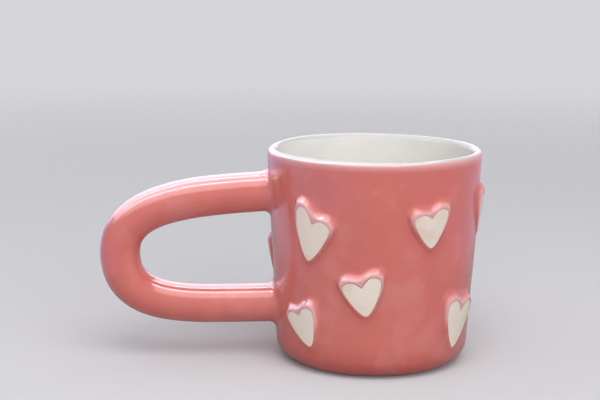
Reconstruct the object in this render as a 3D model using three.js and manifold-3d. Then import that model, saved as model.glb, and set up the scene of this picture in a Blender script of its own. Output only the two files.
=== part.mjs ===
// Hand-built ceramic mug with a loop handle and raised hearts.
// Millimetres, +Z up. The origin is the centre of the foot, on the table, and the handle points along -X.
import * as THREE from "three";
import { mergeVertices } from "three/addons/utils/BufferGeometryUtils.js";
import Module from "manifold-3d";

const wasm = await Module();
wasm.setup();

// Body
const mugHeight = 85.6;
const rimRadius = 43; // outside, where the straight wall meets the lip
const baseRadius = 38.4; // outside, the straight wall carried down to the table
const wallThickness = 4;
const heelRound = 7.5; // rounding from the wall to the underside
const heelLift = 0.6; // the glazed heel stays this far off the table
const heelEdge = 0.8; // thickness of the heel's inner edge, where the floor comes through
const footInset = 1.2; // bare foot inside the end of the heel rounding
const footChamfer = 0.5;
const floorThickness = 6; // table to the inside floor
const floorCove = 6; // rounding inside, from the floor to the wall
const coveEdge = 0.5; // thickness left where the cove runs out on the floor
const glazeThickness = 0.6; // cream coat inside
const glazeLap = 48; // degrees up the lip's outer rounding where the cream coat ends
const seam = 0.3; // gap between neighbouring pieces

// Handle
const upperRootDrop = 17; // rim down to the middle of the upper root
const lowerRootRise = 22.2; // table up to the middle of the lower root
const handleReach = 60.8; // wall to the middle of the far end
const handleSag = 1.9; // far end below the middle of the two roots
const upperThickness = 16.1;
const lowerThickness = 15.5;
const upperSlope = 5.8; // degrees, the upper arm falls away from the wall
const lowerSlope = 2; // degrees, the lower arm rises away from the wall
const upperRun = 26.2; // how far each arm keeps its direction at the wall
const lowerRun = 29.7;
const upperTurn = 23.7; // how far the loop keeps upright at its far end
const lowerTurn = 27;
const rootFlare = 2.2; // each root spreads this much on to the wall
const rootFlareLength = 3.6;

// Hearts
const relief = 2.3; // top of a heart's face above the wall
const tipShare = 0.6; // share of the relief left at its tip
const inlayThickness = 0.6; // cream face, sunk flush into the relief
const heartWidth = 15.6; // usual cream face
const heartTall = 16;
const notchDepth = 2.8;
const lobeDrop = 0.15; // share of the height, from a lobe's top down to its widest place
const browSide = 0.7; // pink edge round the cream face, before the shoulder falls away
const browTop = 1;
const browNotch = 0.45; // share of the notch left in that edge
const footNotch = 1; // the shoulder's own notch is shallow and round
const shoulderSide = 2.2; // pink shoulder around the cream face
const shoulderTop = 4.4;
const shoulderTip = 1.6;

// Each heart: degrees round from the handle, share of the way up the straight wall, shares of the
// usual width, height and notch, degrees of tilt, and the share of its height by which the lobe on the
// right is raised and the other lowered.
const hearts = [
  { turn: 48, level: 0.625, broad: 1, long: 1.2, notch: 1.45, tilt: -11, lean: -0.115 },
  { turn: 113.3, level: 0.68, broad: 0.93, long: 0.91, notch: 0.95, tilt: 5, lean: 0.06 },
  { turn: 77.6, level: 0.336, broad: 0.955, long: 0.93, notch: 1.15, tilt: 9, lean: 0.045 },
  { turn: 42, level: 0.138, broad: 0.885, long: 0.95, notch: 0.85, tilt: 20, lean: 0.01 },
  { turn: 138, level: 0.152, broad: 1.06, long: 1.21, notch: 1.65, tilt: -8, lean: -0.01 },
  { turn: 165, level: 0.709, broad: 1, long: 1, notch: 1, tilt: -6, lean: 0 },
  { turn: -21.5, level: 0.395, broad: 1, long: 1.06, notch: 1, tilt: 6, lean: 0 },
  { turn: 206, level: 0.37, broad: 0.985, long: 0.96, notch: 1, tilt: 10, lean: 0.02 },
  { turn: 226, level: 0.7, broad: 1.025, long: 1.06, notch: 1.1, tilt: -9, lean: 0.03 },
  { turn: 246, level: 0.18, broad: 0.96, long: 0.975, notch: 0.9, tilt: 12, lean: 0 },
  { turn: 270, level: 0.47, broad: 1.01, long: 0.94, notch: 1, tilt: -4, lean: -0.055 },
  { turn: 297, level: 0.72, broad: 0.97, long: 0.96, notch: 1, tilt: 7, lean: 0.035 },
  { turn: 305, level: 0.17, broad: 1.025, long: 1.075, notch: 1.15, tilt: -12, lean: 0 },
];

// Fineness of the faceted surfaces
const roundSides = 64;
const heelSteps = 5;
const lipSteps = 5;
const coveSteps = 4;
const tubeSides = 18;
const tubeStep = 4;
const rootSteps = 5;
const heartSteps = 4;

const pinkGlaze = { color: 0xd0706a, roughness: 0.16, metalness: 0 };
const creamGlaze = { color: 0xe9ddca, roughness: 0.2, metalness: 0 };
const whiteGlaze = { color: 0xf0ece2, roughness: 0.18, metalness: 0 };
const bareClay = { color: 0xd9c4a6, roughness: 0.85, metalness: 0 };

const radians = THREE.MathUtils.degToRad;
const lipRadius = wallThickness / 2;
const wallTop = mugHeight - lipRadius;
const wallLean = Math.atan((rimRadius - baseRadius) / wallTop);
const lipCentre = rimRadius - lipRadius;

function outerRadius(z) {
  return baseRadius + ((rimRadius - baseRadius) * z) / wallTop;
}

// Inside of the finished mug, with its cream coat.
function innerRadius(z) {
  return outerRadius(z) - wallThickness;
}

function arc(centreR, centreZ, radius, fromAngle, toAngle, steps) {
  const points = [];
  for (let i = 0; i <= steps; i += 1) {
    const angle = fromAngle + ((toAngle - fromAngle) * i) / steps;
    points.push([centreR + radius * Math.cos(angle), centreZ + radius * Math.sin(angle)]);
  }
  return points;
}

// Turns a profile of (radius, height) points, listed anticlockwise, about the mug's axis.
function turned(profile) {
  const points = profile.map(([r, z]) => new THREE.Vector2(r, z));
  if (profile[0][0] > 0) points.push(points[0].clone());
  return new THREE.LatheGeometry(points, roundSides).rotateX(Math.PI / 2);
}

// Joins rings of points into one closed surface, with a point to close each end.
function lofted(startPoint, rings, endPoint) {
  const sides = rings[0].length;
  const positions = [startPoint, ...rings.flat(), endPoint].flatMap((p) => [p.x, p.y, p.z]);
  const last = 1 + rings.length * sides;
  const triangles = [];
  for (let i = 0; i < sides; i += 1) {
    const next = (i + 1) % sides;
    triangles.push(0, 1 + i, 1 + next);
    triangles.push(last, last - sides + next, last - sides + i);
    for (let ring = 0; ring < rings.length - 1; ring += 1) {
      const low = 1 + ring * sides;
      const high = low + sides;
      triangles.push(low + i, high + i, high + next);
      triangles.push(low + i, high + next, low + next);
    }
  }
  const geometry = new THREE.BufferGeometry();
  geometry.setAttribute("position", new THREE.Float32BufferAttribute(positions, 3));
  geometry.setIndex(triangles);
  geometry.computeVertexNormals();
  return geometry;
}

function toSolid(geometry) {
  const bare = geometry.clone();
  bare.deleteAttribute("normal");
  bare.deleteAttribute("uv");
  const merged = mergeVertices(bare);
  const vertProperties = new Float32Array(merged.attributes.position.array);
  const triVerts = new Uint32Array(merged.index.array);
  return new wasm.Manifold(new wasm.Mesh({ numProp: 3, vertProperties, triVerts }));
}

function toGeometry(solid) {
  const { vertProperties, triVerts } = solid.getMesh();
  const geometry = new THREE.BufferGeometry();
  geometry.setAttribute("position", new THREE.Float32BufferAttribute(vertProperties, 3));
  geometry.setIndex(new THREE.Uint32BufferAttribute(triVerts, 1));
  geometry.computeVertexNormals();
  return geometry;
}

// Wall and floor
const heelCentreZ = heelLift + heelRound;
const heelCentreR = outerRadius(heelCentreZ) - heelRound / Math.cos(wallLean);
const footRadius = heelCentreR - footInset;
const slabTop = floorThickness - glazeThickness - seam;
const coveCentreZ = floorThickness + floorCove;
const coveCentreR = innerRadius(coveCentreZ) - floorCove / Math.cos(wallLean);
const lapAngle = radians(glazeLap);

const bevelFoot = heelLift + heelEdge;

// The floor slab's bevelled edge, which the wall follows one seam further out.
function bevelRadius(z) {
  const slope = (innerRadius(slabTop) - footRadius) / (slabTop - bevelFoot);
  return footRadius + slope * (z - bevelFoot);
}

// The wall's inner face ends in a cove that laps over the floor slab.
function makeWall() {
  const clayLip = lipRadius - glazeThickness - seam;
  const coveRadius = floorCove + glazeThickness + seam;
  const coveEnd = -Math.asin(1 - (seam + coveEdge) / coveRadius);
  const cove = arc(coveCentreR, coveCentreZ, coveRadius, -wallLean, coveEnd, coveSteps);
  const coveTip = cove[coveSteps][0];
  return turned([
    [footRadius + seam, heelLift],
    ...arc(heelCentreR, heelCentreZ, heelRound, -Math.PI / 2, -wallLean, heelSteps),
    ...arc(lipCentre, wallTop, lipRadius, 0, lapAngle, 2),
    ...arc(lipCentre, wallTop, clayLip, lapAngle, Math.PI, lipSteps),
    ...cove,
    [coveTip, slabTop + seam],
    [bevelRadius(slabTop + seam) + seam, slabTop + seam],
    [footRadius + seam, bevelFoot],
  ]);
}

function makeBaseSlab() {
  return turned([
    [0, 0],
    [footRadius - footChamfer, 0],
    [footRadius, footChamfer],
    [footRadius, bevelFoot],
    [bevelRadius(slabTop), slabTop],
    [0, slabTop],
  ]);
}

function makeLinerGlaze() {
  const lapEnd = lapAngle + seam / lipRadius;
  const under = floorCove + glazeThickness;
  return turned([
    [0, floorThickness - glazeThickness],
    ...arc(coveCentreR, coveCentreZ, under, -Math.PI / 2, -wallLean, coveSteps),
    ...arc(lipCentre, wallTop, lipRadius - glazeThickness, Math.PI, lapEnd, lipSteps),
    ...arc(lipCentre, wallTop, lipRadius, lapEnd, Math.PI, lipSteps),
    ...arc(coveCentreR, coveCentreZ, floorCove, -wallLean, -Math.PI / 2, coveSteps),
    [0, floorThickness],
  ]);
}

// Handle: a round loop that swells into two roots, cut to lie on the wall.
function makeHandle() {
  const upperZ = mugHeight - upperRootDrop;
  const middle = (upperZ + lowerRootRise) / 2;
  const tip = new THREE.Vector3(-outerRadius(middle) - handleReach, 0, middle - handleSag);
  const along = (from, degrees, run) => {
    const slope = radians(degrees);
    return new THREE.Vector3(from.x - run * Math.cos(slope), 0, from.z + run * Math.sin(slope));
  };
  const upperRoot = new THREE.Vector3(-innerRadius(upperZ), 0, upperZ);
  const lowerRoot = new THREE.Vector3(-innerRadius(lowerRootRise), 0, lowerRootRise);
  const path = new THREE.CurvePath();
  path.add(new THREE.CubicBezierCurve3(
    upperRoot,
    along(upperRoot, -upperSlope, upperRun),
    new THREE.Vector3(tip.x, 0, tip.z + upperTurn),
    tip,
  ));
  path.add(new THREE.CubicBezierCurve3(
    tip,
    new THREE.Vector3(tip.x, 0, tip.z - lowerTurn),
    along(lowerRoot, lowerSlope, lowerRun),
    lowerRoot,
  ));
  const length = path.getLength();
  const rootLength = wallThickness + rootFlareLength;
  const stops = [];
  for (let i = 0; i < rootSteps; i += 1) stops.push((rootLength * i) / rootSteps);
  const middleSteps = Math.ceil((length - 2 * rootLength) / tubeStep);
  for (let i = 0; i <= middleSteps; i += 1) {
    stops.push(rootLength + ((length - 2 * rootLength) * i) / middleSteps);
  }
  for (let i = rootSteps - 1; i >= 0; i -= 1) stops.push(length - (rootLength * i) / rootSteps);
  const rings = stops.map((stop) => {
    const share = stop / length;
    const centre = path.getPointAt(share);
    const tangent = path.getTangentAt(share);
    const radius = THREE.MathUtils.lerp(upperThickness, lowerThickness, share) / 2;
    return Array.from({ length: tubeSides }, (_, i) => {
      const angle = (2 * Math.PI * i) / tubeSides;
      const across = Math.cos(angle);
      const outward = new THREE.Vector3(-tangent.z * across, Math.sin(angle), tangent.x * across);
      const skin = centre.clone().addScaledVector(outward, radius);
      const offWall = Math.hypot(skin.x, skin.y) - outerRadius(skin.z);
      const spread = THREE.MathUtils.clamp(1 - offWall / rootFlareLength, 0, 1);
      return skin.addScaledVector(outward, rootFlare * spread ** 2);
    });
  });
  const tube = lofted(path.getPointAt(0), rings, path.getPointAt(1));
  const body = turned([
    [0, 0],
    [outerRadius(0) + seam, 0],
    [outerRadius(wallTop) + seam, wallTop],
    [0, wallTop],
  ]);
  return toGeometry(toSolid(tube).subtract(toSolid(body)));
}

// Hearts: an outline drawn flat, then wrapped on to the wall. The cream face has a sharp notch and a
// narrow tip; the brow round it and the foot of its shoulder are rounder at both.
const crispLines = { dipRise: 0.65, tipRun: 0.3 };
const softLines = { dipRise: 0, tipRun: 0.38 };

function heartOutline(width, tall, notch, shiftUp, { dipRise, tipRun }) {
  const side = width / 2;
  const top = tall / 2 + shiftUp;
  const dip = top - notch;
  const widest = top - lobeDrop * tall;
  const corner = (top + widest) / 2;
  const tip = top - tall;
  const shape = new THREE.Shape();
  shape.moveTo(0, dip);
  shape.bezierCurveTo(-0.22 * side, dip + dipRise * notch, -0.38 * side, top, -0.58 * side, top);
  shape.bezierCurveTo(-0.82 * side, top, -side, corner, -side, widest);
  shape.bezierCurveTo(-side, top - 0.4 * tall, -tipRun * side, tip, 0, tip);
  shape.bezierCurveTo(tipRun * side, tip, side, top - 0.4 * tall, side, widest);
  shape.bezierCurveTo(side, corner, 0.82 * side, top, 0.58 * side, top);
  shape.bezierCurveTo(0.38 * side, top, 0.22 * side, dip + dipRise * notch, 0, dip);
  return shape.getPoints(heartSteps).slice(0, -1);
}

// Share of the way from the brow to the foot, and share of the relief left there.
const shoulderProfile = [[0.3, 0.86], [0.65, 0.52], [1, 0.3]];

function makeHeart({ level, broad, long, notch, tilt, lean }) {
  const width = heartWidth * broad;
  const tall = heartTall * long;
  const deep = notchDepth * notch;
  const rise = heelCentreZ + level * (wallTop - heelCentreZ);
  const centre = new THREE.Vector2(0, 0);
  const onWall = (point, lift, sink) => {
    const upness = THREE.MathUtils.clamp(0.5 + point.y / tall, 0, 1);
    const sideways = Math.tanh((4 * point.x) / width);
    const leaned = new THREE.Vector2(point.x, point.y + lean * tall * sideways * upness ** 2);
    const flat = leaned.rotateAround(centre, radians(tilt));
    const angle = flat.x / outerRadius(rise);
    const taper = THREE.MathUtils.lerp(tipShare, 1, upness);
    const radius = outerRadius(rise + flat.y) + lift * taper - sink;
    return new THREE.Vector3(radius * Math.cos(angle), radius * Math.sin(angle), flat.y);
  };
  const ring = (outline, lift, sink) => outline.map((point) => onWall(point, lift, sink));
  const inlay = heartOutline(width, tall, deep, 0, crispLines);
  const pocket = heartOutline(width + 2 * seam, tall + 2 * seam, deep, 0, crispLines);
  const browTall = tall + browTop + browSide;
  const browShift = (browTop - browSide) / 2;
  const brow = heartOutline(width + 2 * browSide, browTall, deep * browNotch, browShift, softLines);
  const footWidth = width + 2 * shoulderSide;
  const footTall = tall + shoulderTop + shoulderTip;
  const footShift = (shoulderTop - shoulderTip) / 2;
  const foot = heartOutline(footWidth, footTall, footNotch, footShift, softLines);
  const halfFoot = foot.map((point) => point.clone().multiplyScalar(0.5));
  const pocketDepth = inlayThickness + seam;
  const shoulder = shoulderProfile.map(([share, left]) => {
    const outline = brow.map((point, i) => point.clone().lerp(foot[i], share));
    return ring(outline, relief * left, 0);
  });
  const raised = lofted(
    onWall(centre, relief, pocketDepth),
    [
      ring(pocket, relief, pocketDepth),
      ring(pocket, relief, 0),
      ring(brow, relief, 0),
      ...shoulder,
      ring(foot, 0, -seam),
      ring(halfFoot, 0, -seam),
    ],
    onWall(centre, 0, -seam),
  );
  const cream = lofted(
    onWall(centre, relief, 0),
    [ring(inlay, relief, 0), ring(inlay, relief, inlayThickness)],
    onWall(centre, relief, inlayThickness),
  );
  return { rise, raised, cream };
}

function part(name, geometry, finish) {
  const mesh = new THREE.Mesh(geometry, new THREE.MeshStandardMaterial(finish));
  mesh.name = name;
  return mesh;
}

const mug = new THREE.Group();
mug.add(part("wall", makeWall(), pinkGlaze));
mug.add(part("base_slab", makeBaseSlab(), bareClay));
mug.add(part("liner_glaze", makeLinerGlaze(), whiteGlaze));
mug.add(part("handle", makeHandle(), pinkGlaze));
hearts.forEach((heart, i) => {
  const number = String(i + 1).padStart(2, "0");
  const { rise, raised, cream } = makeHeart(heart);
  const place = new THREE.Group();
  place.position.z = rise;
  place.rotation.z = Math.PI + radians(heart.turn);
  place.add(part(`raised_heart_${number}`, raised, pinkGlaze));
  place.add(part(`cream_heart_${number}`, cream, creamGlaze));
  mug.add(place);
});

export default mug;
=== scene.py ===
import bisect
import math

import bmesh
import bpy
from mathutils import Color, Matrix, Vector
from mathutils.geometry import interpolate_bezier


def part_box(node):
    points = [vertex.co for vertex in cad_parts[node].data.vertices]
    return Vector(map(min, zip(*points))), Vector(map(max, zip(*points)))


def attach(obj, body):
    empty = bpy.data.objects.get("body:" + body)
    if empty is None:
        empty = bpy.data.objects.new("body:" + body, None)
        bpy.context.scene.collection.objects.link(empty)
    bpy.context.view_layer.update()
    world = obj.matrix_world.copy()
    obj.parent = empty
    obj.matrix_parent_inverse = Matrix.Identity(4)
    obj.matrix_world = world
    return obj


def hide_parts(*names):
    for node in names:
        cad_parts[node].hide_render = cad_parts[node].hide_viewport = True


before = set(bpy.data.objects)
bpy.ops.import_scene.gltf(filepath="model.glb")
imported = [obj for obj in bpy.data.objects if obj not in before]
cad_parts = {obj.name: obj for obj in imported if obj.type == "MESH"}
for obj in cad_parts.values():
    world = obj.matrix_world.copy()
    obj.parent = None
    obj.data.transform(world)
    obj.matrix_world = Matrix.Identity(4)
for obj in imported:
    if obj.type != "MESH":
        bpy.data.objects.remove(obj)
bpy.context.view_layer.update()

mm = 0.001
axisRadius = 1e-6  # a ring this small stands for a point on the mug's axis
print("frame loaded:", len(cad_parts), "nodes")


# Camera, at the photograph's angle

cameraView = {
    "place": (-0.0779, -0.5546, 0.1663),
    "turn": -4.96,  # degrees to the side
    "dip": 10.39,  # degrees below level
    "roll": 0.52,
    "lens": 84.65,
    "sensor": 36,
}


def addCamera(view):
    bpy.ops.object.select_all(action="DESELECT")
    bpy.ops.object.camera_add()
    camera = bpy.context.object
    turn = Matrix.Rotation(math.radians(view["turn"]), 4, "Z")
    dip = Matrix.Rotation(math.radians(90 - view["dip"]), 4, "X")
    roll = Matrix.Rotation(math.radians(view["roll"]), 4, "Z")
    camera.matrix_world = Matrix.Translation(view["place"]) @ turn @ dip @ roll
    camera.data.sensor_fit = "HORIZONTAL"
    camera.data.sensor_width = view["sensor"]
    camera.data.lens = view["lens"]
    bpy.context.scene.camera = camera


addCamera(cameraView)
bpy.context.scene.view_settings.view_transform = "Standard"
print("camera placed")


# Modelling helpers

def arcPoint(centreR, centreZ, radius, angle):
    return (centreR + radius * math.cos(angle), centreZ + radius * math.sin(angle))


def arcPoints(centreR, centreZ, radius, fromAngle, toAngle, steps):
    turn = toAngle - fromAngle
    return [
        arcPoint(centreR, centreZ, radius, fromAngle + turn * i / steps)
        for i in range(steps + 1)
    ]


def straightPoints(start, end, steps):
    # the points between two ends, without the ends
    return [
        tuple(a + (b - a) * i / steps for a, b in zip(start, end))
        for i in range(1, steps)
    ]


def selectOnly(piece):
    bpy.ops.object.select_all(action="DESELECT")
    piece.select_set(True)
    bpy.context.view_layer.objects.active = piece


def turnPiece(name, profile, sides):
    # a ring is drawn at the first point and pulled along the profile
    bpy.ops.object.select_all(action="DESELECT")
    radius, height = profile[0]
    radius = max(radius, axisRadius)
    bpy.ops.mesh.primitive_circle_add(vertices=sides, radius=radius, location=(0, 0, height))
    piece = bpy.context.object
    piece.name = name
    bpy.ops.object.transform_apply(location=True)
    bpy.ops.object.mode_set(mode="EDIT")
    for nextRadius, nextHeight in profile[1:]:
        nextRadius = max(nextRadius, axisRadius)
        rise = nextHeight - height
        bpy.ops.mesh.extrude_region_move(TRANSFORM_OT_translate={"value": (0, 0, rise)})
        grow = nextRadius / radius
        bpy.ops.transform.resize(value=(grow, grow, 1), center_override=(0, 0, nextHeight))
        radius = nextRadius
        height = nextHeight
    bpy.ops.object.mode_set(mode="OBJECT")
    return piece


def closeMesh(piece):
    # merges the end rings and seams, then turns every face outwards
    selectOnly(piece)
    bpy.ops.object.mode_set(mode="EDIT")
    bpy.ops.mesh.select_all(action="SELECT")
    bpy.ops.mesh.remove_doubles(threshold=5 * axisRadius)
    bpy.ops.mesh.normals_make_consistent(inside=False)
    bpy.ops.object.mode_set(mode="OBJECT")


def startLoop(name, points):
    # a circle laid along a closed outline; each point keeps its number for the loops pulled from it
    bpy.ops.object.select_all(action="DESELECT")
    bpy.ops.mesh.primitive_circle_add(vertices=len(points), radius=mm)
    piece = bpy.context.object
    piece.name = name
    bpy.ops.object.mode_set(mode="EDIT")
    work = bmesh.from_edit_mesh(piece.data)
    order = work.verts.layers.int.new("order")
    work.verts.layers.int.new("loop")
    work.verts.ensure_lookup_table()
    for i, point in enumerate(points):
        work.verts[i][order] = i
        work.verts[i].co = point
    bmesh.update_edit_mesh(piece.data)
    return piece


def nextLoop(piece, number, points):
    bpy.ops.mesh.extrude_region_move()
    work = bmesh.from_edit_mesh(piece.data)
    order = work.verts.layers.int["order"]
    loop = work.verts.layers.int["loop"]
    for vert in work.verts:
        if vert.select:
            vert.co = points[vert[order]]
            vert[loop] = number
    bmesh.update_edit_mesh(piece.data)


def loftPiece(name, loops, **marks):
    # loops of points pulled one from the next; the first and last close on a point
    # marks: a value for each point of each loop, kept as an attribute
    piece = startLoop(name, loops[0])
    for number in range(1, len(loops)):
        nextLoop(piece, number, loops[number])
    bpy.ops.object.mode_set(mode="OBJECT")
    layers = piece.data.attributes
    places = [(loop.value, order.value) for loop, order in zip(layers["loop"].data, layers["order"].data)]
    for mark, values in marks.items():
        paintAttribute(piece, mark, [values[loop][order] for loop, order in places])
    for layer in ("loop", "order"):
        layers.remove(layers[layer])
    return piece


# Every skin of the mug shares one field of soft lumps, so neighbours move together

handLumps = {
    "broad": {"size": 30 * mm, "depth": 0.55 * mm},
    "small": {"size": 11 * mm, "depth": 0.13 * mm},
}
lumpTextures = {}
for lumpName, lump in handLumps.items():
    texture = bpy.data.textures.new(lumpName + "Lumps", "CLOUDS")
    texture.noise_scale = lump["size"]
    texture.noise_depth = 0
    lumpTextures[lumpName] = texture


def smoothPiece(piece, lumps=handLumps):
    selectOnly(piece)
    bpy.ops.object.modifier_add(type="SUBSURF")
    soften = piece.modifiers[-1]
    soften.levels = 1
    soften.render_levels = 1
    bpy.ops.object.modifier_apply(modifier=soften.name)
    closeMesh(piece)
    for lumpName, lump in lumps.items():
        bpy.ops.object.modifier_add(type="DISPLACE")
        push = piece.modifiers[-1]
        push.texture = lumpTextures[lumpName]
        push.texture_coords = "LOCAL"
        push.strength = lump["depth"]
        push.mid_level = 0.5
        bpy.ops.object.modifier_apply(modifier=push.name)
    bpy.ops.object.shade_smooth()


def paintAttribute(piece, name, values):
    layer = piece.data.attributes.new(name, "FLOAT", "POINT")
    layer.data.foreach_set("value", values)


def fade(value, fromValue, toValue):
    # 0 at fromValue, 1 at toValue, soft at both ends
    share = (value - fromValue) / (toValue - fromValue)
    share = min(1, max(0, share))
    return share * share * (3 - 2 * share)


def dress(piece, material, slot, *nodes):
    piece.data.materials.append(material)
    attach(piece, "root")
    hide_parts(*nodes)


# Shape of the body, shared by all that sits on it

bodySizes = {
    "height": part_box("liner_glaze")[1].z,
    "rimRadius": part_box("wall")[1].x,
    "baseRadius": 38.4 * mm,  # the straight wall carried down to the table
    "wallThickness": 4 * mm,
    "heelRound": 7.5 * mm,
    "heelLift": 0.6 * mm,  # the glazed heel stays this far off the table
    "footInset": 1.2 * mm,
    "floorThickness": 6 * mm,
    "floorCove": 6 * mm,
    "glazeThickness": 0.6 * mm,
    "slabGap": 0.3 * mm,  # between the slab and what is round it
    "heelEdge": 0.8 * mm,  # upright edge of the heel, beside the slab
}
lipRadius = bodySizes["wallThickness"] / 2
wallTop = bodySizes["height"] - lipRadius
lipCentre = bodySizes["rimRadius"] - lipRadius
wallSlope = (bodySizes["rimRadius"] - bodySizes["baseRadius"]) / wallTop
wallLean = math.atan(wallSlope)


def outerRadius(z):
    return bodySizes["baseRadius"] + wallSlope * z


def innerRadius(z):
    return outerRadius(z) - bodySizes["wallThickness"]


def offWall(point):
    return math.hypot(point.x, point.y) - outerRadius(point.z)


def setOffWall(point, distance):
    # moves a point straight out or in until it is that far off the wall
    grow = (outerRadius(point.z) + distance) / math.hypot(point.x, point.y)
    return Vector((point.x * grow, point.y * grow, point.z))


heelCentreZ = bodySizes["heelLift"] + bodySizes["heelRound"]
heelCentreR = outerRadius(heelCentreZ) - bodySizes["heelRound"] / math.cos(wallLean)
footRadius = heelCentreR - bodySizes["footInset"]
coveCentreZ = bodySizes["floorThickness"] + bodySizes["floorCove"]
coveCentreR = innerRadius(coveCentreZ) - bodySizes["floorCove"] / math.cos(wallLean)
slabTop = bodySizes["floorThickness"] - bodySizes["glazeThickness"] - bodySizes["slabGap"]
bevelFoot = bodySizes["heelLift"] + bodySizes["heelEdge"]


# Heart outlines, drawn flat and wrapped on to the wall

heartSizes = {
    "width": 15.6 * mm,
    "tall": 16 * mm,
    "notch": 2.8 * mm,
    "widest": 0.15,  # share of the height, from the top down to the widest place
    "footNotch": 1 * mm,  # the shoulder's own notch is shallow and round
    "browNotch": 0.45,  # share of the notch left at the top of the shoulder
    "browTop": 0.6 * mm,  # level part of the shoulder, above the face
    "browSide": 0.3 * mm,  # and elsewhere round it
    "shoulderSide": 2.2 * mm,
    "shoulderTop": 3.2 * mm,
    "shoulderTip": 1.8 * mm,
    "tipShare": 0.25,  # share of the relief left at the tip
    "leanTurn": 4,  # how soon the lean changes from one lobe to the other
    "topShare": 0.35,  # shares of the height above and below the middle,
    "lowShare": 0.1,  # where the top of a heart ends and its lower half starts
    "steps": 12,
}
# the crest and the curves' handles, as shares of half the width,
# apart from flank, a share of the height, and dipRise, a share of the notch
heartLines = {"crest": 0.58, "dipRun": 0.22, "crestIn": 0.38, "crestOut": 0.82, "flank": 0.4}
crispLines = {**heartLines, "dipRise": 0.65, "tipRun": 0.3}
softLines = {**heartLines, "dipRise": 0, "tipRun": 0.38}
# degrees round from the handle, share of the way up, shares of the sizes above,
# degrees of tilt, and how far one lobe is raised, as a share of the height
heartNames = ("turn", "level", "broad", "long", "notch", "tilt", "lean")
heartRows = [
    (48, 0.625, 1, 1.2, 1.45, -11, -0.115),
    (113.3, 0.68, 0.93, 0.91, 0.95, 5, 0.06),
    (77.6, 0.336, 0.955, 0.93, 1.15, 9, 0.045),
    (42, 0.138, 0.885, 0.95, 0.85, 20, 0.01),
    (138, 0.152, 1.06, 1.21, 1.65, -8, -0.01),
    (165, 0.709, 1, 1, 1, -6, 0),
    (-21.5, 0.395, 1, 1.06, 1, 6, 0),
    (206, 0.37, 0.985, 0.96, 1, 10, 0.02),
    (226, 0.7, 1.025, 1.06, 1.1, -9, 0.03),
    (246, 0.18, 0.96, 0.975, 0.9, 12, 0),
    (270, 0.47, 1.01, 0.94, 1, -4, -0.055),
    (297, 0.72, 0.97, 0.96, 1, 7, 0.035),
    (305, 0.17, 1.025, 1.075, 1.15, -12, 0),
]
hearts = [dict(zip(heartNames, row)) for row in heartRows]


def heartOutline(width, tall, notch, shiftUp, lines):
    side = width / 2
    top = tall / 2 + shiftUp
    dip = top - notch
    tip = top - tall
    drop = heartSizes["widest"] * tall
    crest = (lines["crest"] * side, top)
    widest = (side, top - drop)
    dipHandle = (lines["dipRun"] * side, dip + lines["dipRise"] * notch)
    half = [
        ((0, dip), dipHandle, (lines["crestIn"] * side, top), crest),
        (crest, (lines["crestOut"] * side, top), (side, top - drop / 2), widest),
        (widest, (side, top - lines["flank"] * tall), (lines["tipRun"] * side, tip), (0, tip)),
    ]
    right = []
    for knots in half:
        start, handleOne, handleTwo, end = [Vector((x, y, 0)) for x, y in knots]
        right += interpolate_bezier(start, handleOne, handleTwo, end, heartSizes["steps"] + 1)[:-1]
    right.append(Vector((0, tip, 0)))
    left = [Vector((-point.x, point.y, 0)) for point in reversed(right[1:-1])]
    return right + left


def heartOutlines(heart):
    # the cream face, the brow round it where the pink starts to fall, and the foot it falls towards
    sizes = heartSizes
    width = sizes["width"] * heart["broad"]
    tall = sizes["tall"] * heart["long"]
    notch = sizes["notch"] * heart["notch"]

    def outlineRound(side, top, tip, dip, lines):
        return heartOutline(width + 2 * side, tall + top + tip, dip, (top - tip) / 2, lines)

    face = outlineRound(0, 0, 0, notch, crispLines)
    brow = outlineRound(
        sizes["browSide"], sizes["browTop"], sizes["browSide"], sizes["browNotch"] * notch, softLines
    )
    foot = outlineRound(
        sizes["shoulderSide"], sizes["shoulderTop"], sizes["shoulderTip"], sizes["footNotch"], softLines
    )
    return face, brow, foot


def heartRise(heart):
    return heelCentreZ + heart["level"] * (wallTop - heelCentreZ)


def heartAngle(heart):
    # turns are counted from the handle's side
    return math.radians(180 + heart["turn"])


def heartUpness(heart, point):
    # 0 at the tip of a heart, 1 at its top
    return min(1, max(0, 0.5 + point.y / (heartSizes["tall"] * heart["long"])))


def heartFlat(heart, point):
    # one lobe raised and the other lowered, then the whole heart tilted
    width = heartSizes["width"] * heart["broad"]
    tall = heartSizes["tall"] * heart["long"]
    sideways = math.tanh(heartSizes["leanTurn"] * point.x / width)
    raised = heart["lean"] * tall * sideways * heartUpness(heart, point) ** 2
    leaned = Vector((point.x, point.y + raised, 0))
    return Matrix.Rotation(math.radians(heart["tilt"]), 3, "Z") @ leaned


def heartOnWall(heart, point, lift):
    rise = heartRise(heart)
    flat = heartFlat(heart, point)
    angle = heartAngle(heart) + flat.x / outerRadius(rise)
    tip = heartSizes["tipShare"]
    taper = tip + (1 - tip) * heartUpness(heart, point)
    height = lift * taper if lift > 0 else lift
    radius = outerRadius(rise + flat.y) + height
    return Vector((radius * math.cos(angle), radius * math.sin(angle), rise + flat.y))


def wallToHeart(heart, point):
    # where a point on the wall lies on the heart's flat drawing
    rise = heartRise(heart)
    angle = math.atan2(point.y, point.x) - heartAngle(heart)
    angle = (angle + math.pi) % (2 * math.pi) - math.pi
    return Vector((angle * outerRadius(rise), point.z - rise, 0))


def lowSide(flat):
    # 0 along the top of a heart, 1 round its lower half
    tall = heartSizes["tall"]
    return fade(flat.y, heartSizes["topShare"] * tall, -heartSizes["lowShare"] * tall)


print("drawings ready:", len(hearts), "hearts")


# Shader node groups

socketKinds = {1: "NodeSocketFloat", 3: "NodeSocketVector", 4: "NodeSocketColor"}  # by count of numbers


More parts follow.
